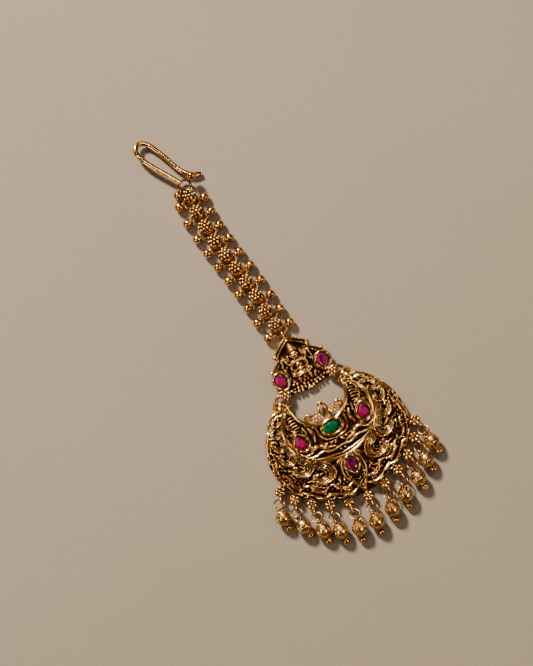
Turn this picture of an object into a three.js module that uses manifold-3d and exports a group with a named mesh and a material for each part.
// Maang tikka, the jewel worn on a hair parting, lying on its back on a table.
// Units are millimetres. X runs across the pendant, Y up its middle line to the hook, Z away from the table.
// The origin is on the pendant's flat back, under the middle of the green stone.

import * as THREE from "three";
import { mergeVertices } from "three/addons/utils/BufferGeometryUtils.js";
import Module from "manifold-3d";

const wasm = await Module();
wasm.setup();

// Driving dimensions of the crescent pendant
const PENDANT_HALF_WIDTH = 18.4;
const PENDANT_DROP = 18.1;
const HORN_HEIGHT = 10.2;
const OPENING_RADIUS = 7.2;
const OPENING_CENTRE_Y = 8.9;
const OPENING_HORN_ANGLE = 0.06;
const PLATE_EDGE = 1.5;
const DOME_RISE = 1.5;
const RELIEF_FOOT = 0.45;
const PANEL_HALF_WIDTH = 11.8;
const PANEL_HALF_HEIGHT = 9.9;
const PANEL_CENTRE_Y = 2.2;
const PANEL_HORN_ANGLE = THREE.MathUtils.degToRad(132);
const RIM_WIDTH = 0.55;
const RIM_HEIGHT = 0.6;
const FEATHER_COUNT = 7;
const FEATHER_SHRINK = 0.88;
const FEATHER_HEIGHT = 0.85;
const SCROLL_COUNT = 6;
const SCROLL_WIDTH = 0.55;
const SCROLL_HEIGHT = 0.6;
const SCROLL_GAP_INSET = 1.75;
const RIB_COUNT = 3;
const RIB_X = 9.1;
const RIB_FOOT_Y = 3.9;
const RIB_PITCH = 1.2;
const RIB_HALF_LENGTH = 0.75;
const LEAF_HALF_WIDTH = 2.9;
const LEAF_TOP_Y = -8.6;
const FINIAL_LEVEL = 1.3;
const FINIAL_HEIGHT = 0.7;

// Stones and their settings
const PEAR_WIDTH = 3.0;
const PEAR_LENGTH = 4.0;
const OVAL_WIDTH = 4.5;
const OVAL_LENGTH = 3.1;
const SETTING_WALL = 0.45;
const SETTING_HEIGHT = 1.1;
const SETTING_FOOT = 0.6;
const STONE_GAP = 0.1;
const STONE_SEAT = 0.25;
const STONE_PAVILION = 0.7;
const STONE_CROWN = 0.6;
const STONE_TABLE_SHARE = 0.55;
const STONE_FOOT_SHARE = 0.45;
const SIDE_STONE_X = 8.7;
const SIDE_STONE_Y = -0.1;
const SIDE_STONE_TURN = -0.15;
const LEAF_STONE_Y = -10.5;
const CROWN_STONE_X = 5.85;
const CROWN_STONE_Y = 15.7;
const CROWN_STONE_TURN = 0.14;

// Rosettes round the foot of the pendant, and the drops that hang on them
const ROSETTE_RADIUS = 1.45;
const ROSETTE_NOTCH = 0.84;
const ROSETTE_PETALS = 6;
const ROSETTE_THICKNESS = 1.4;
const ROSETTE_BASE = 0.8;
const ROSETTE_OVERLAP = 0.2;
const EYE_RADIUS = 0.72;
const EYE_WIRE = 0.22;
const EYE_REACH = 0.6;
const RING_RADIUS = 1.35;
const RING_WIRE = 0.22;
const BEAD_RADIUS = 2.03;
const TIP_BALL_RADIUS = 1.05;
const TIP_BALL_GAP = 0.08;
const CAP_RADIUS = 0.95;
const NECK_RADIUS = 0.5;

// Crown plate with the seated figure
const CROWN_APEX_Y = 25.2;
const CROWN_FOOT_Y = 11.0;
const CROWN_HALF_WIDTH = 7.9;
const CROWN_THICKNESS = 1.4;
const ROOF_WIDTH = 0.5;
const ROOF_HEIGHT = 0.65;
const GRANULE_RADIUS = 0.46;
const GRANULE_PITCH = 0.94;

// Links between the crown and the two horns
const HORN_RING_RADIUS = 1.5;
const HORN_RING_WIRE = 0.33;
const HORN_RING_CLEARANCE = 0.27;
const HORN_EYE_RADIUS = 0.85;
const HORN_EYE_WIRE = 0.27;
const HORN_LINK_LEVEL = 1.4;
const HORN_LINK_TURN = THREE.MathUtils.degToRad(49);
const HORN_COLLAR_REACH = 2.75;
const HORN_COLLAR_RADIUS = 0.5;
const CROWN_EYE_X = 6.9;
const CROWN_EYE_Y = 12.35;
const CLUSTER_RADIUS = 1.25;
const CLUSTER_HEIGHT = 1.0;

// Chain
const STATION_COUNT = 10;
const STATION_EYE_Y = 1.2;
const LINK_RADIUS = 1.62;
const LINK_HALF_WIDTH = 2.0;
const LINK_WIRE = 0.3;
const LINK_LEVEL = 1.2;
const STATION_EYE_RADIUS = 0.8;
const STATION_EYE_WIRE = 0.24;
const DOME_RADIUS = 1.65;
const DOME_HEIGHT = 1.3;
const DOME_BASE = 2.28;
const POST_WIDTH = 1.1;
const POST_DEPTH = 0.9;
const POST_FOOT = 0.5;
const POST_SEAT = 0.3;
const BALL_RADIUS = 1.2;
const BALL_REACH = 3.35;

// Hook
const HOOK_LENGTH = 16.1;
const HOOK_WIDTH = 4.3;
const HOOK_RIBBON = 1.5;
const HOOK_THICKNESS = 0.95;
const HOOK_TURN = THREE.MathUtils.degToRad(26);
const HOOK_LEAN = THREE.MathUtils.degToRad(14);
const HOOK_LEVEL = 2.05;
const HOOK_BALL_REACH = 2.9;
const HOOK_BALL_RADIUS = 1.12;
const RAISED_BALL_LEVEL = 3.2;

// Number of faces round each round thing
const ROUND_SIDES = 10;
const WIRE_SIDES = 5;
const STONE_SIDES = 10;
const EYE_STEPS = 5;
const HOOK_STEPS = 13;
const OPENING_RIM_STEPS = 14;
const PANEL_RIM_STEPS = 17;
const PLATE_EDGE_SIDES = 32;
const HORN_CLEARANCE_SIDES = 10;

// Half of the pendant's outline from the leaf's tip to the horn: across as a share of the half width, up as a
// share of the drop below the origin, or of the horn's height above it.
const PENDANT_OUTLINE = [
  { across: 0.0, up: -1.0 },
  { across: 0.24, up: -0.955 },
  { across: 0.49, up: -0.875 },
  { across: 0.69, up: -0.76 },
  { across: 0.85, up: -0.615 },
  { across: 0.96, up: -0.44 },
  { across: 1.0, up: -0.24 },
  { across: 0.99, up: -0.02 },
  { across: 0.945, up: 0.22 },
  { across: 0.87, up: 0.5 },
  { across: 0.76, up: 0.76 },
  { across: 0.63, up: 0.95 },
  { across: 0.49, up: 1.0 },
];

// The rosettes from the middle to the right: how far along the edge each is from the leaf's tip, and how its
// eye leans outward, in degrees.
const ROSETTES = [
  { along: 0, lean: 0 },
  { along: 4.85, lean: 4 },
  { along: 9.35, lean: 8 },
  { along: 13.5, lean: 12 },
  { along: 17.7, lean: 17 },
  { along: 21.5, lean: 25 },
];

// How far each drop's ring and bead are swung sideways, left to right, in degrees.
const DROP_SWINGS = [
  { ring: -40, bead: 0 },
  { ring: -22, bead: 10 },
  { ring: -4, bead: 0 },
  { ring: -14, bead: 3 },
  { ring: -4, bead: -10 },
  { ring: -34, bead: 0 },
  { ring: -34, bead: -8 },
  { ring: -38, bead: -7 },
  { ring: -36, bead: 10 },
  { ring: -30, bead: 13 },
  { ring: -4, bead: 13 },
];

// The rings of corners round a ball, by degrees of latitude. A small ball's two rings lie on its full width.
const BALL_LATITUDE = 26;
const BEAD_LATITUDES = [-60, -28, 4, 34];

// Half of the crown's outline from the apex to the foot: across as a share of the half width, up as a
// share of the height from foot to apex.
const CROWN_OUTLINE = [
  { across: 0.0, up: 1.0 },
  { across: 0.12, up: 0.99 },
  { across: 0.36, up: 0.9 },
  { across: 0.6, up: 0.785 },
  { across: 0.53, up: 0.69 },
  { across: 0.74, up: 0.62 },
  { across: 0.94, up: 0.48 },
  { across: 1.0, up: 0.33 },
  { across: 0.84, up: 0.12 },
  { across: 0.68, up: 0.04 },
  { across: 0.34, up: 0.02 },
  { across: 0.0, up: -0.01 },
];

// Balls of the seated figure on one side or in the middle: place, radii and height over the crown's front.
const FIGURE_MIDDLE = [
  { x: 0, y: 20.4, wide: 1.05, tall: 1.15, deep: 0.95, level: 0.55 },
  { x: 0, y: 22.3, wide: 0.95, tall: 1.4, deep: 0.75, level: 0.3 },
  { x: 0, y: 18.2, wide: 1.3, tall: 1.6, deep: 0.85, level: 0.3 },
  { x: 0, y: 15.9, wide: 2.7, tall: 0.85, deep: 0.75, level: 0.2 },
];
const FIGURE_SIDE = [
  { x: 2.85, y: 20.2, wide: 0.6, tall: 0.75, deep: 0.5, level: 0.2 },
  { x: 2.1, y: 15.9, wide: 0.8, tall: 0.75, deep: 0.7, level: 0.4 },
];

// The bent wire of an eye, as shares of its radius: along its heading and upward.
const EYE_SHAPE = [
  { along: -1.3, up: 0.5 },
  { along: -0.55, up: 0.9 },
  { along: 0.25, up: 0.97 },
  { along: 0.87, up: 0.5 },
  { along: 1.0, up: 0.0 },
  { along: 0.87, up: -0.5 },
  { along: 0.25, up: -0.97 },
  { along: -0.55, up: -0.9 },
  { along: -1.3, up: -0.5 },
];

// Where the chain lies, from the crown's apex to the hook's ring, chosen by hand.
const CHAIN_ROUTE = [
  { x: -0.1, y: 26.0 },
  { x: -0.7, y: 30.0 },
  { x: -1.3, y: 36.0 },
  { x: -1.9, y: 42.0 },
  { x: -3.1, y: 49.0 },
  { x: -4.2, y: 56.0 },
  { x: -4.8, y: 63.0 },
  { x: -4.3, y: 69.1 },
];

// The hook's middle line: across as a share of its width, up as a share of its length.
const HOOK_PATH = [
  { across: 0.0, up: 0.06 },
  { across: -0.1, up: 0.32 },
  { across: -0.2, up: 0.56 },
  { across: -0.23, up: 0.78 },
  { across: -0.07, up: 0.945 },
  { across: 0.35, up: 1.0 },
  { across: 0.68, up: 0.92 },
  { across: 0.77, up: 0.75 },
  { across: 0.72, up: 0.5 },
  { across: 0.65, up: 0.28 },
  { across: 0.7, up: 0.13 },
  { across: 0.9, up: 0.01 },
  { across: 1.24, up: -0.085 },
];

const GOLD = new THREE.MeshStandardMaterial({ color: 0xb98240, metalness: 1, roughness: 0.3 });
const RUBY = new THREE.MeshStandardMaterial({ color: 0xb00a55, metalness: 0, roughness: 0.08 });
const EMERALD = new THREE.MeshStandardMaterial({ color: 0x0a6b2e, metalness: 0, roughness: 0.08 });

// A closed geometry as a solid that can be joined and cut.
function solidOf(geometry) {
  const plain = new THREE.BufferGeometry();
  plain.setAttribute("position", geometry.getAttribute("position").clone());
  if (geometry.index) plain.setIndex(geometry.index.clone());
  const merged = mergeVertices(plain, 1e-4);
  const mesh = new wasm.Mesh({
    numProp: 3,
    vertProperties: new Float32Array(merged.attributes.position.array),
    triVerts: new Uint32Array(merged.index.array),
  });
  return new wasm.Manifold(mesh);
}

// Joins geometries into one solid.
function fuse(geometries) {
  return geometries.map(solidOf).reduce((whole, piece) => whole.add(piece));
}

// A solid as a three.js geometry.
function geometryOf(solid) {
  const mesh = solid.getMesh();
  const step = mesh.numProp;
  const positions = new Float32Array(mesh.numVert * 3);
  for (let i = 0; i < mesh.numVert; i++) {
    positions.set(mesh.vertProperties.subarray(i * step, i * step + 3), i * 3);
  }
  const geometry = new THREE.BufferGeometry();
  geometry.setAttribute("position", new THREE.BufferAttribute(positions, 3));
  geometry.setIndex(new THREE.BufferAttribute(new Uint32Array(mesh.triVerts), 1));
  geometry.computeVertexNormals();
  return geometry;
}

// How much the pendant's front rises over its edge at a place.
function rise(x, y) {
  const middle = (HORN_HEIGHT - PENDANT_DROP) / 2 + 1.2;
  const halfHeight = (HORN_HEIGHT + PENDANT_DROP) / 2 + 1.8;
  const away = (x / PENDANT_HALF_WIDTH) ** 2 + ((y - middle) / halfHeight) ** 2;
  return DOME_RISE * Math.max(0, 1 - away);
}

// Arches the front of a flat piece, and keeps its back flat.
function arched(geometry) {
  const position = geometry.getAttribute("position");
  for (let i = 0; i < position.count; i++) {
    const z = position.getZ(i);
    const share = Math.min(1, z / PLATE_EDGE);
    position.setZ(i, z + share * rise(position.getX(i), position.getY(i)));
  }
  return geometry;
}

// A smooth curve through points of one level.
function flatCurve(points, level = 0) {
  return new THREE.CatmullRomCurve3(points.map(([x, y]) => new THREE.Vector3(x, y, level)));
}

// A ridge with a sharp crest along a level curve on the metal's surface, with its foot inside the metal.
function ridge(points, halfWidth, height, steps, level = 0) {
  const section = new THREE.Shape();
  section.moveTo(-height, 0);
  section.lineTo(RELIEF_FOOT, halfWidth);
  section.lineTo(RELIEF_FOOT, -halfWidth);
  const settings = { steps, extrudePath: flatCurve(points, level), bevelEnabled: false };
  return new THREE.ExtrudeGeometry(section, settings);
}

// A straight round bar between two points.
function bar(from, to, radius, sides = WIRE_SIDES) {
  const along = to.clone().sub(from);
  const geometry = new THREE.CylinderGeometry(radius, radius, along.length(), sides);
  const upright = new THREE.Vector3(0, 1, 0);
  geometry.applyQuaternion(new THREE.Quaternion().setFromUnitVectors(upright, along.clone().normalize()));
  const middle = from.clone().lerp(to, 0.5);
  return geometry.translate(middle.x, middle.y, middle.z);
}

// Profile points of a bead's rings, for a lathe turned round Y.
function beadRings() {
  return BEAD_LATITUDES.map((degrees) => {
    const angle = THREE.MathUtils.degToRad(degrees);
    return new THREE.Vector2(BEAD_RADIUS * Math.cos(angle), BEAD_RADIUS * Math.sin(angle));
  });
}

// Profile points of a small ball's two rings, which meet its full width.
function ballRings(radius, centreY) {
  const offset = radius * Math.tan(THREE.MathUtils.degToRad(BALL_LATITUDE));
  return [-1, 1].map((side) => new THREE.Vector2(radius, centreY + side * offset));
}

// A smooth ball, standing on Z.
function ball(x, y, z, radius) {
  const profile = [new THREE.Vector2(0, -radius), ...ballRings(radius, 0), new THREE.Vector2(0, radius)];
  return new THREE.LatheGeometry(profile, ROUND_SIDES).rotateX(Math.PI / 2).translate(x, y, z);
}

// One rounded mass of the seated figure.
function mass({ x, y, wide, tall, deep, level }, side = 1) {
  const geometry = new THREE.SphereGeometry(1, ROUND_SIDES, 3).rotateX(Math.PI / 2);
  return geometry.scale(wide, tall, deep).translate(side * x, y, CROWN_THICKNESS + level);
}

// A granule, which is a very small ball with few faces.
function granule(x, y, z) {
  return new THREE.OctahedronGeometry(GRANULE_RADIUS).translate(x, y, z);
}

// A low dome on a flat foot.
function lowDome(radius, height, base) {
  const rings = [0, 45].map((degrees) => {
    const angle = THREE.MathUtils.degToRad(degrees);
    return new THREE.Vector2(radius * Math.cos(angle), base + height * Math.sin(angle));
  });
  const profile = [new THREE.Vector2(0, base), ...rings, new THREE.Vector2(0, base + height)];
  return new THREE.LatheGeometry(profile, ROUND_SIDES).rotateX(Math.PI / 2);
}

// A wire ring lying flat.
function flatRing(radius, thickness) {
  return new THREE.TorusGeometry(radius, thickness, WIRE_SIDES, ROUND_SIDES);
}

// A bent wire eye that stands upright round a centre. It opens back along its heading, where its two feet are
// held by the metal behind it.
function uprightEye(radius, thickness, turn, centre) {
  const section = new THREE.Shape();
  for (let i = 0; i < WIRE_SIDES; i++) {
    const angle = (i * 2 * Math.PI) / WIRE_SIDES;
    section[i === 0 ? "moveTo" : "lineTo"](thickness * Math.cos(angle), thickness * Math.sin(angle));
  }
  const out = heading(turn);
  const path = EYE_SHAPE.map(({ along, up }) => {
    const point = centre.clone().addScaledVector(out, along * radius);
    return point.setZ(centre.z + up * radius);
  });
  const extrudePath = new THREE.CatmullRomCurve3(path);
  return new THREE.ExtrudeGeometry(section, { steps: EYE_STEPS, extrudePath, bevelEnabled: false });
}

// The direction that lies at an angle from -Y, positive towards +X.
function heading(turn) {
  return new THREE.Vector3(Math.sin(turn), -Math.cos(turn), 0);
}

// Points round a pear outline with its tip towards +Y, or an oval one, larger by a margin.
function stoneOutline(width, length, pointed, margin = 0) {
  const points = [];
  for (let i = 0; i < STONE_SIDES; i++) {
    const angle = Math.PI / 2 + (i * 2 * Math.PI) / STONE_SIDES;
    const narrow = pointed ? 1 - 0.35 * Math.max(0, Math.sin(angle)) ** 1.5 : 1;
    const x = (width / 2 + margin) * Math.cos(angle) * narrow;
    points.push(new THREE.Vector2(x, (length / 2 + margin) * Math.sin(angle)));
  }
  return points;
}

// The outline of one stone, larger by a margin.
function outlineOf(stone, margin = 0) {
  return stone.pointed
    ? stoneOutline(PEAR_WIDTH, PEAR_LENGTH, true, margin)
    : stoneOutline(OVAL_WIDTH, OVAL_LENGTH, false, margin);
}

// A prism with a stone's outline, from one level to another, turned to the stone's place.
function stonePrism(stone, margin, from, to, steps = 1) {
  const shape = new THREE.Shape(outlineOf(stone, margin));
  const geometry = new THREE.ExtrudeGeometry(shape, { depth: to - from, steps, bevelEnabled: false });
  return geometry.translate(0, 0, from);
}

function placed(geometry, stone) {
  return geometry.rotateZ(stone.turn).translate(stone.x, stone.y, 0);
}

// The collar that holds a stone, standing on the metal and reaching down into it.
function settingOf(stone) {
  const foot = stone.level - SETTING_FOOT;
  return placed(stonePrism(stone, STONE_GAP + SETTING_WALL, foot, stone.level + SETTING_HEIGHT), stone);
}

// The well in the collar that the stone stands in.
function wellOf(stone) {
  return placed(stonePrism(stone, STONE_GAP, stone.level, stone.level + 4), stone);
}

// A cut stone: a flat table, a ring of facets down to the girdle, and a ring of facets under it.
function cutStone(stone) {
  const foot = stone.level + stone.lift + STONE_SEAT;
  const levels = [0, STONE_PAVILION, STONE_PAVILION + STONE_CROWN];
  const shares = [STONE_FOOT_SHARE, 1, STONE_TABLE_SHARE];
  const geometry = stonePrism(stone, 0, 0, 2, 2);
  const position = geometry.getAttribute("position");
  for (let i = 0; i < position.count; i++) {
    const ring = Math.round(position.getZ(i));
    position.setXYZ(i, position.getX(i) * shares[ring], position.getY(i) * shares[ring], foot + levels[ring]);
  }
  return placed(geometry, stone);
}

// A closed outline for a slim lens-shaped gap: centre, half length, half width, and its length's angle from +X.
function lens(x, y, halfLength, halfWidth, turn) {
  const corners = [
    [halfLength, 0],
    [0, halfWidth],
    [-halfLength, 0],
    [0, -halfWidth],
  ];
  return new THREE.Path(
    corners.map(([along, across]) => {
      const dx = along * Math.cos(turn) - across * Math.sin(turn);
      const dy = along * Math.sin(turn) + across * Math.cos(turn);
      return new THREE.Vector2(x + dx, y + dy);
    }),
  );
}

// The pendant's edge, from the left horn round the foot to the right horn.
function pendantEdge() {
  const half = PENDANT_OUTLINE.map(({ across, up }) => {
    const y = up < 0 ? up * PENDANT_DROP : up * HORN_HEIGHT;
    return new THREE.Vector3(across * PENDANT_HALF_WIDTH, y, 0);
  });
  const left = half.slice(1).reverse().map((p) => new THREE.Vector3(-p.x, p.y, 0));
  return new THREE.CatmullRomCurve3([...left, ...half], false, "centripetal");
}

const edge = pendantEdge();
const edgeLength = edge.getLength();

// A place inside the pendant's edge: how far from the leaf's tip towards the right horn, and how far inward.
function insideEdge(distance, inward) {
  const share = 0.5 + distance / edgeLength;
  const point = edge.getPointAt(share);
  const tangent = edge.getTangentAt(share);
  return new THREE.Vector2(point.x - tangent.y * inward, point.y + tangent.x * inward);
}

// A place on the panel's rim by its angle from straight down towards +X, and its outward normal.
function onPanelRim(angle) {
  const point = new THREE.Vector2(Math.sin(angle) * PANEL_HALF_WIDTH, -Math.cos(angle) * PANEL_HALF_HEIGHT);
  const normal = new THREE.Vector2(point.x / PANEL_HALF_WIDTH ** 2, point.y / PANEL_HALF_HEIGHT ** 2);
  normal.normalize();
  point.y += PANEL_CENTRE_Y;
  return { point, normal };
}

// Points of the opening's edge in the pendant, right to left round its foot.
function openingPoints(margin, count) {
  const points = [];
  for (let i = 0; i <= count; i++) {
    const angle = OPENING_HORN_ANGLE - ((Math.PI + 2 * OPENING_HORN_ANGLE) * i) / count;
    const radius = OPENING_RADIUS + margin;
    points.push([radius * Math.cos(angle), OPENING_CENTRE_Y + radius * Math.sin(angle)]);
  }
  return points;
}

// The curled feathers of the band on one side, smaller and smaller towards the horn.
function feathers(side) {
  const first = Math.asin((LEAF_HALF_WIDTH + 0.5) / PANEL_HALF_WIDTH);
  const range = PANEL_HORN_ANGLE - first;
  const unit = (1 - FEATHER_SHRINK) / (1 - FEATHER_SHRINK ** FEATHER_COUNT);
  const ridges = [];
  let share = 0;
  for (let i = 0; i < FEATHER_COUNT; i++) {
    const stride = unit * FEATHER_SHRINK ** i;
    const root = onPanelRim(first + range * (share + stride * 0.2));
    const next = onPanelRim(first + range * (share + stride * 1.2));
    const along = next.point.clone().sub(root.point);
    const size = along.length();
    along.normalize();
    const at = (a, n) => {
      const spot = root.point.clone().addScaledVector(along, a * size).addScaledVector(root.normal, n * size);
      return [side * spot.x, spot.y];
    };
    const spine = [at(0.06, 0.22), at(0.0, 0.5), at(0.14, 0.78), at(0.42, 0.86), at(0.68, 0.62)];
    ridges.push(ridge(spine, size * 0.24, FEATHER_HEIGHT, 4, PLATE_EDGE));
    share += stride;
  }
  return ridges;
}

// The scrolls along the outer border on one side, and the gaps inside them.
function borderScrolls(side) {
  const made = { ridges: [], gaps: [] };
  const start = LEAF_HALF_WIDTH * 1.3;
  const pitch = (edgeLength / 2 - start) / SCROLL_COUNT;
  for (let i = 0; i < SCROLL_COUNT; i++) {
    const at = (a, inward) => {
      const spot = insideEdge(start + pitch * (i + a), inward);
      return [side * spot.x, spot.y];
    };
    const spine = [at(0.04, 1.4), at(0.22, 0.8), at(0.55, 0.55), at(0.82, 0.8), at(0.86, 1.3)];
    made.ridges.push(ridge(spine, SCROLL_WIDTH, SCROLL_HEIGHT, 3, PLATE_EDGE));
    if (i < SCROLL_COUNT - 3) {
      const [gx, gy] = at(0.5, SCROLL_GAP_INSET);
      const [hx, hy] = at(0.6, SCROLL_GAP_INSET);
      made.gaps.push(lens(gx, gy, pitch * 0.18, 0.3, Math.atan2(hy - gy, hx - gx)));
    }
  }
  return made;
}

// The leaf at the foot of the pendant, drawn by two bowed ridges.
function leaf() {
  return [-1, 1].map((side) => {
    const bow = [
      [0, LEAF_TOP_Y + 1.2],
      [side * LEAF_HALF_WIDTH * 0.85, LEAF_TOP_Y - 0.8],
      [side * LEAF_HALF_WIDTH, LEAF_TOP_Y - 3.2],
      [side * LEAF_HALF_WIDTH * 0.62, LEAF_TOP_Y - 6.2],
      [0, -PENDANT_DROP + 0.3],
    ];
    return ridge(bow, RIM_WIDTH, RIM_HEIGHT, 6, PLATE_EDGE);
  });
}

// The two rims of the panel: one round the opening and one at the feathers.
function panelRims() {
  const outer = [];
  for (let i = 0; i <= 24; i++) {
    const { point } = onPanelRim(PANEL_HORN_ANGLE * (i / 12 - 1));
    outer.push([point.x, point.y]);
  }
  return [
    ridge(openingPoints(RIM_WIDTH, 20), RIM_WIDTH, RIM_HEIGHT, OPENING_RIM_STEPS, PLATE_EDGE),
    ridge(outer, RIM_WIDTH, RIM_HEIGHT, PANEL_RIM_STEPS, PLATE_EDGE),
  ];
}

// Ornament of the panel on one side: collars by the oval stone, leaves under it, and the ribs in the horn.
function panelOrnament(side) {
  const run = (points, halfWidth, steps) =>
    ridge(points.map(([x, y]) => [side * x, y]), halfWidth, RIM_HEIGHT, steps, PLATE_EDGE);
  const pieces = [
    run([[5.5, 1.0], [5.2, -0.2], [5.6, -1.6]], 0.6, 2),
    run([[3.9, 0.2], [2.8, -2.2], [0, -3.2]], 0.5, 3),
    run([[9.8, -3.6], [7.4, -3.2], [5.4, -2.4], [3.6, -3.4]], 0.5, 3),
    run([[7.4, -5.0], [4.2, -6.0], [0, -6.4]], 0.5, 3),
  ];
  for (let i = 0; i < RIB_COUNT; i++) {
    const y = RIB_FOOT_Y + i * RIB_PITCH;
    pieces.push(run([[RIB_X - RIB_HALF_LENGTH, y], [RIB_X + RIB_HALF_LENGTH, y - 0.2]], 0.45, 1));
  }
  return pieces;
}

// The open finial over the oval stone, standing in the mouth of the crescent.
function finial() {
  const base = OPENING_CENTRE_Y - OPENING_RADIUS;
  const pieces = [];
  for (const side of [-1, 1]) {
    const cluster = lowDome(1.1, 0.9, FINIAL_LEVEL - RELIEF_FOOT).translate(side * 2.0, base + 2.5, 0);
    const curl = [
      [side * 3.0, base + 0.5],
      [side * 4.4, base + 1.7],
      [side * 5.0, base + 2.9],
      [side * 4.1, base + 3.6],
      [side * 3.1, base + 2.6],
    ];
    const stalk = [
      [0, base - 0.4],
      [side * 0.9, base + 1.8],
      [side * 0.95, base + 3.6],
      [0, base + 5.2],
    ];
    pieces.push(cluster, ridge(curl, RIM_WIDTH, FINIAL_HEIGHT, 5, FINIAL_LEVEL));
    pieces.push(ridge(stalk, RIM_WIDTH, FINIAL_HEIGHT, 4, FINIAL_LEVEL));
  }
  return pieces;
}

// The eleven rosettes, left to right, with the middle of each one's eye. Each just laps over the plate's edge.
function rosettePlaces() {
  const left = ROSETTES.slice(1).reverse().map(({ along, lean }) => ({ along: -along, lean: -lean }));
  return [...left, ...ROSETTES].map(({ along, lean }) => {
    const spot = insideEdge(along, ROSETTE_OVERLAP - ROSETTE_RADIUS);
    const centre = new THREE.Vector3(spot.x, spot.y, ROSETTE_BASE + ROSETTE_THICKNESS / 2);
    const turn = THREE.MathUtils.degToRad(lean);
    const eye = centre.clone().addScaledVector(heading(turn), ROSETTE_RADIUS + EYE_REACH);
    return { centre, turn, eye };
  });
}

const rosettes = rosettePlaces();

// One rosette of six petals with its eye. A petal points at the plate.
function rosette(place) {
  const petals = [];
  const inward = Math.atan2(-place.centre.y, -place.centre.x);
  for (let i = 0; i < 2 * ROSETTE_PETALS; i++) {
    const angle = inward + (i * Math.PI) / ROSETTE_PETALS;
    const radius = ROSETTE_RADIUS * (i % 2 === 0 ? 1 : ROSETTE_NOTCH);
    petals.push(new THREE.Vector2(radius * Math.cos(angle), radius * Math.sin(angle)));
  }
  const settings = { depth: ROSETTE_THICKNESS, bevelEnabled: false };
  const flower = new THREE.ExtrudeGeometry(new THREE.Shape(petals), settings);
  flower.translate(place.centre.x, place.centre.y, ROSETTE_BASE);
  return [flower, uprightEye(EYE_RADIUS, EYE_WIRE, place.turn, place.eye)];
}

// Every stone with its place. A pear's tip points towards +Y before it is turned.
const STONES = [
  { name: "emerald_centre", on: "crescent", pointed: false, x: 0, y: 0, turn: 0 },
  { name: "ruby_leaf", on: "crescent", pointed: true, x: 0, y: LEAF_STONE_Y, turn: Math.PI },
  ...[-1, 1].flatMap((side) => {
    const hand = side < 0 ? "left" : "right";
    const panelPlace = { x: side * SIDE_STONE_X, y: SIDE_STONE_Y, turn: side * SIDE_STONE_TURN };
    const crownPlace = { x: side * CROWN_STONE_X, y: CROWN_STONE_Y, turn: Math.PI - side * CROWN_STONE_TURN };
    return [
      { name: `ruby_panel_${hand}`, on: "crescent", pointed: true, ...panelPlace },
      { name: `ruby_crown_${hand}`, on: "crown", pointed: true, ...crownPlace },
    ];
  }),
].map((stone) => {
  const level = stone.on === "crown" ? CROWN_THICKNESS : PLATE_EDGE;
  const lift = stone.on === "crown" ? 0 : rise(stone.x, stone.y);
  return { ...stone, level, lift };
});

// Puts the settings of one plate's stones on it and opens their wells.
function withSettings(metal, plate) {
  const stones = STONES.filter((stone) => stone.on === plate);
  return metal.add(fuse(stones.map(settingOf))).subtract(fuse(stones.map(wellOf)));
}

// The middle of each horn link, its eye on the crown and its eye on the horn.
function hornLinkPlace(side) {
  const turn = side * HORN_LINK_TURN;
  const along = heading(turn);
  const crownEye = new THREE.Vector3(side * CROWN_EYE_X, CROWN_EYE_Y, HORN_LINK_LEVEL);
  const centre = crownEye.clone().addScaledVector(along, HORN_RING_RADIUS);
  const hornEye = centre.clone().addScaledVector(along, HORN_RING_RADIUS);
  return { crownEye, centre, hornEye, along, turn };
}

// Frees the metal round the two horn links.
function clearOfHornLinks(metal) {
  const radius = HORN_RING_RADIUS + HORN_RING_WIRE + HORN_RING_CLEARANCE;
  const rounds = [-1, 1].map((side) => {
    const { centre } = hornLinkPlace(side);
    const geometry = new THREE.CylinderGeometry(radius, radius, 8, HORN_CLEARANCE_SIDES).rotateX(Math.PI / 2);
    return geometry.translate(centre.x, centre.y, 0);
  });
  return metal.subtract(fuse(rounds));
}

// The collar across one horn and the eye that stands on it.
function hornEnd(side) {
  const place = hornLinkPlace(side);
  const across = new THREE.Vector3(side * Math.cos(HORN_LINK_TURN), Math.sin(HORN_LINK_TURN), 0);
  const middle = place.centre.clone().addScaledVector(place.along, HORN_COLLAR_REACH);
  const from = middle.clone().addScaledVector(across, -1.6);
  const to = middle.clone().addScaledVector(across, 0.4);
  const eye = uprightEye(HORN_EYE_RADIUS, HORN_EYE_WIRE, place.turn + Math.PI, place.hornEye);
  return [bar(from, to, HORN_COLLAR_RADIUS, 6), eye];
}

// The pierced plate with its domed front and flat back.
function crescentPlate(gaps) {
  const outer = edge.getSpacedPoints(PLATE_EDGE_SIDES).map((p) => new THREE.Vector2(p.x, p.y));
  const inner = openingPoints(0, 13).map(([x, y]) => new THREE.Vector2(x, y));
  const shape = new THREE.Shape([...outer, ...inner]);
  shape.holes.push(...gaps);
  return new THREE.ExtrudeGeometry(shape, { depth: PLATE_EDGE, bevelEnabled: false });
}

// Gaps pierced through the panel on one side.
function panelGaps(side) {
  return [
    lens(side * 10.9, -1.6, 0.9, 0.26, side * 1.2),
    lens(side * 6.2, 0.3, 1.2, 0.4, Math.PI / 2),
    lens(side * 7.1, 3.4, 0.9, 0.26, side * 2.0),
    lens(side * 8.4, 7.9, 0.7, 0.3, side * 1.9),
  ];
}

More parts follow.
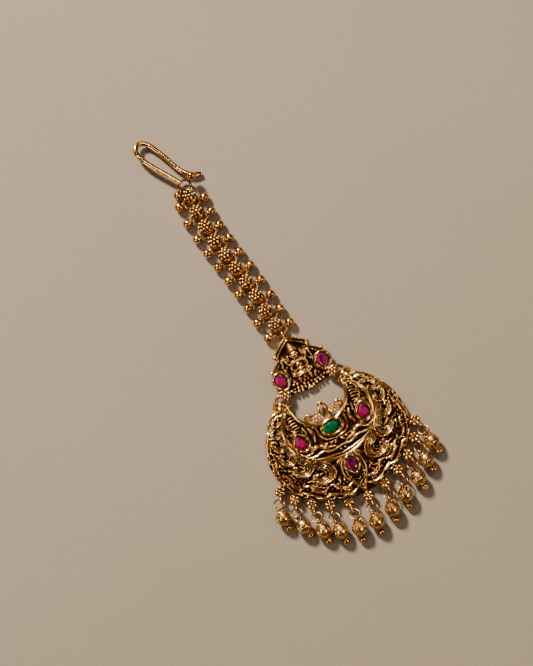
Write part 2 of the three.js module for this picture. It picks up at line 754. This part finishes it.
// The crescent pendant: plate, rims, feathers, scrolls, settings, rosettes and eyes, cast as one.
function crescentPendant() {
  const sides = [-1, 1];
  const borders = sides.map(borderScrolls);
  const plate = solidOf(crescentPlate([...borders.flatMap((part) => part.gaps), ...sides.flatMap(panelGaps)]));
  const relief = fuse([
    ...panelRims(),
    ...sides.flatMap(feathers),
    ...borders.flatMap((part) => part.ridges),
    ...sides.flatMap(panelOrnament),
    ...leaf(),
    ...finial(),
  ]);
  const fittings = fuse([
    ...rosettes.flatMap(rosette),
    ...sides.flatMap(hornEnd),
  ]);
  const flat = withSettings(clearOfHornLinks(plate.add(relief)), "crescent");
  return solidOf(arched(geometryOf(flat))).add(fittings);
}

// The crown's outline with both halves.
function crownOutline() {
  const height = CROWN_APEX_Y - CROWN_FOOT_Y;
  const half = CROWN_OUTLINE.map(({ across, up }) => [across * CROWN_HALF_WIDTH, CROWN_FOOT_Y + up * height]);
  const left = half.slice(1, -1).reverse().map(([x, y]) => [-x, y]);
  return [...half, ...left].map(([x, y]) => new THREE.Vector2(x, y));
}

// Raised ridges of the crown's roof and eaves, and its scroll end, on one side.
function crownRoof(side) {
  const run = (points, steps) => {
    const spine = points.map(([x, y]) => [side * x, y]);
    return ridge(spine, ROOF_WIDTH, ROOF_HEIGHT, steps, CROWN_THICKNESS);
  };
  return [
    run([[0, 25.0], [2.2, 23.8], [4.3, 22.1]], 3),
    run([[0, 23.9], [2.2, 22.6], [3.9, 21.2]], 2),
    run([[4.1, 20.9], [5.4, 19.6], [7.0, 18.2]], 2),
    run([[3.6, 14.0], [0, 13.8]], 1),
  ];
}

// The seated figure in relief: head, tall crown, body, raised arms, folded legs and lotus seat.
function seatedFigure() {
  const pieces = FIGURE_MIDDLE.map((part) => mass(part));
  for (const side of [-1, 1]) {
    const arm = (points) => {
      const spine = points.map(([x, y]) => [side * x, y]);
      return ridge(spine, 0.55, 0.7, 2, CROWN_THICKNESS);
    };
    pieces.push(arm([[0.9, 19.2], [2.3, 18.6], [2.75, 19.9]]));
    pieces.push(arm([[0.9, 18.4], [2.1, 17.4], [1.3, 16.5]]));
    pieces.push(...FIGURE_SIDE.map((part) => mass(part, side)));
  }
  return pieces;
}

// The row of beads along the crown's foot.
function beadRow() {
  const beads = [];
  for (let i = -4; i <= 4; i++) beads.push(granule(i * GRANULE_PITCH, 12.2, CROWN_THICKNESS + 0.1));
  return beads;
}

// Gaps pierced through the crown on one side.
function crownGaps(side) {
  return [
    lens(side * 2.1, 21.2, 0.85, 0.4, side * 2.3),
    lens(side * 4.3, 19.2, 0.8, 0.32, side * 2.3),
    lens(side * 3.1, 16.9, 0.7, 0.3, Math.PI / 2),
  ];
}

// The crown: pierced plate, roof ridges, figure, settings, bead rows, corner clusters and eyes.
function crownPlate() {
  const sides = [-1, 1];
  const shape = new THREE.Shape(crownOutline());
  shape.holes.push(...sides.flatMap(crownGaps));
  const plate = solidOf(new THREE.ExtrudeGeometry(shape, { depth: CROWN_THICKNESS, bevelEnabled: false }));
  const relief = fuse([...sides.flatMap(crownRoof), ...seatedFigure(), ...beadRow()]);
  const eyes = sides.flatMap((side) => {
    const place = hornLinkPlace(side);
    const cluster = lowDome(CLUSTER_RADIUS, CLUSTER_HEIGHT, HORN_LINK_LEVEL + HORN_EYE_RADIUS);
    cluster.translate(place.crownEye.x - side * 0.35, place.crownEye.y + 0.1, 0);
    return [cluster, uprightEye(HORN_EYE_RADIUS, HORN_EYE_WIRE, place.turn, place.crownEye)];
  });
  const apex = new THREE.Vector3(CHAIN_ROUTE[0].x, CHAIN_ROUTE[0].y, LINK_LEVEL);
  eyes.push(uprightEye(STATION_EYE_RADIUS, STATION_EYE_WIRE, Math.PI, apex));
  return withSettings(clearOfHornLinks(plate.add(relief)), "crown").add(fuse(eyes));
}

// One station of the chain, with its dome at the origin: eye above, link below, and a ball on each side.
function chainStation(linkLength) {
  const half = (linkLength - STATION_EYE_Y) / 2;
  const link = flatRing(LINK_RADIUS, LINK_WIRE);
  link.scale(LINK_HALF_WIDTH / LINK_RADIUS, half / LINK_RADIUS, 1).translate(0, -half, LINK_LEVEL);
  const eyeCentre = new THREE.Vector3(0, STATION_EYE_Y, LINK_LEVEL);
  const eye = uprightEye(STATION_EYE_RADIUS, STATION_EYE_WIRE, Math.PI, eyeCentre);
  const postHeight = DOME_BASE + POST_SEAT - POST_FOOT;
  const post = new THREE.BoxGeometry(POST_WIDTH, POST_DEPTH, postHeight);
  post.translate(0, 0, POST_FOOT + postHeight / 2);
  const pieces = [link, eye, post, lowDome(DOME_RADIUS, DOME_HEIGHT, DOME_BASE)];
  for (const side of [-1, 1]) pieces.push(ball(side * BALL_REACH, -half, LINK_LEVEL, BALL_RADIUS));
  return fuse(pieces);
}

// The bent ribbon of the hook, leaning over its long side.
function hookRibbon() {
  const section = new THREE.Shape();
  const wide = HOOK_RIBBON / 2;
  const thick = HOOK_THICKNESS / 2;
  section.moveTo(-wide, 0);
  section.lineTo(-wide * 0.55, thick);
  section.lineTo(wide * 0.55, thick);
  section.lineTo(wide, 0);
  section.lineTo(wide * 0.55, -thick);
  section.lineTo(-wide * 0.55, -thick);
  const path = flatCurve(HOOK_PATH.map(({ across, up }) => [across * HOOK_WIDTH, up * HOOK_LENGTH]));
  const settings = { steps: HOOK_STEPS, extrudePath: path, bevelEnabled: false };
  const geometry = new THREE.ExtrudeGeometry(section, settings);
  return geometry.rotateY(HOOK_LEAN).translate(0, 0, HOOK_LEVEL);
}

// The hook on its round link, with a ball on each side of the link.
function hook() {
  const pieces = [hookRibbon(), flatRing(LINK_RADIUS, LINK_WIRE).translate(0, 0, LINK_LEVEL)];
  for (const side of [-1, 1]) {
    const level = side < 0 ? LINK_LEVEL : RAISED_BALL_LEVEL;
    const centre = new THREE.Vector3(side * HOOK_BALL_REACH, 0, level);
    const root = new THREE.Vector3(side * LINK_RADIUS, 0, LINK_LEVEL);
    pieces.push(ball(centre.x, 0, centre.z, HOOK_BALL_RADIUS), bar(root, centre, LINK_WIRE, 4));
  }
  return fuse(pieces);
}

const beadReach = BEAD_RADIUS + EYE_REACH;
const tipReach = BEAD_RADIUS + TIP_BALL_GAP + TIP_BALL_RADIUS;
const beadPitch = Math.asin((BEAD_RADIUS - TIP_BALL_RADIUS) / tipReach);

// One drop: the large bead at the origin, its cap and eye above, and the small ball below.
function dropBead() {
  const profile = [
    new THREE.Vector2(0, -tipReach - TIP_BALL_RADIUS),
    ...ballRings(TIP_BALL_RADIUS, -tipReach),
    new THREE.Vector2(NECK_RADIUS, -BEAD_RADIUS - TIP_BALL_GAP),
    ...beadRings(),
    new THREE.Vector2(CAP_RADIUS, BEAD_RADIUS),
    new THREE.Vector2(0, BEAD_RADIUS),
  ];
  const eye = uprightEye(EYE_RADIUS, EYE_WIRE, Math.PI, new THREE.Vector3(0, beadReach, 0));
  return fuse([new THREE.LatheGeometry(profile, ROUND_SIDES), eye]);
}

// Where one drop's ring and bead are. The bead and its small ball both rest on the table.
function dropPlace(rosettePlace, swing) {
  const ringTurn = THREE.MathUtils.degToRad(swing.ring);
  const beadTurn = THREE.MathUtils.degToRad(swing.bead);
  const climb = BEAD_RADIUS + beadReach * Math.sin(beadPitch) - rosettePlace.eye.z;
  const slope = Math.asin(climb / (2 * RING_RADIUS));
  const end = rosettePlace.eye.clone().addScaledVector(heading(ringTurn), 2 * RING_RADIUS * Math.cos(slope));
  end.z += climb;
  const bead = end.clone().addScaledVector(heading(beadTurn), beadReach * Math.cos(beadPitch));
  bead.z = BEAD_RADIUS;
  return { ringCentre: rosettePlace.eye.clone().lerp(end, 0.5), ringTurn, slope, bead, beadTurn };
}

// A named mesh added to a group.
function addMesh(group, name, geometry, material) {
  const mesh = new THREE.Mesh(geometry, material);
  mesh.name = name;
  group.add(mesh);
  return mesh;
}

function addDrops(group) {
  const beadGeometry = geometryOf(dropBead());
  const ringGeometry = flatRing(RING_RADIUS, RING_WIRE);
  rosettes.forEach((place, i) => {
    const number = String(i + 1).padStart(2, "0");
    const { ringCentre, ringTurn, slope, bead, beadTurn } = dropPlace(place, DROP_SWINGS[i]);
    const ring = addMesh(group, `drop_ring_${number}`, ringGeometry, GOLD);
    ring.position.copy(ringCentre);
    ring.rotation.set(-slope, 0, ringTurn, "ZXY");
    const drop = addMesh(group, `drop_bead_${number}`, beadGeometry, GOLD);
    drop.position.copy(bead);
    drop.rotation.set(beadPitch, 0, beadTurn, "ZXY");
  });
}

function addHornLinks(group) {
  for (const side of [-1, 1]) {
    const { centre } = hornLinkPlace(side);
    const link = addMesh(
      group,
      side < 0 ? "horn_link_left" : "horn_link_right",
      flatRing(HORN_RING_RADIUS, HORN_RING_WIRE),
      GOLD,
    );
    link.position.copy(centre);
  }
}

// The chain's stations at equal steps along its route, and the hook at its end.
function addChain(group) {
  const route = new THREE.CatmullRomCurve3(CHAIN_ROUTE.map(({ x, y }) => new THREE.Vector3(x, y, 0)));
  const spots = route.getSpacedPoints(STATION_COUNT);
  const step = route.getLength() / STATION_COUNT;
  const geometry = geometryOf(chainStation(step));
  for (let i = 0; i < STATION_COUNT; i++) {
    const along = spots[i + 1].clone().sub(spots[i]).normalize();
    const number = String(i + 1).padStart(2, "0");
    const station = addMesh(group, `chain_station_${number}`, geometry, GOLD);
    station.position.copy(spots[i + 1]).addScaledVector(along, -STATION_EYE_Y);
    station.rotation.z = Math.atan2(along.y, along.x) - Math.PI / 2;
  }
  const top = spots[STATION_COUNT];
  const hanger = addMesh(group, "hook", geometryOf(hook()), GOLD);
  hanger.position.set(top.x, top.y + LINK_RADIUS, 0);
  hanger.rotation.z = HOOK_TURN;
}

const tikka = new THREE.Group();
addMesh(tikka, "crescent", geometryOf(crescentPendant()), GOLD);
addMesh(tikka, "crown", geometryOf(crownPlate()), GOLD);
for (const stone of STONES) {
  addMesh(tikka, stone.name, cutStone(stone), stone.pointed ? RUBY : EMERALD);
}
addHornLinks(tikka);
addDrops(tikka);
addChain(tikka);

export default tikka;
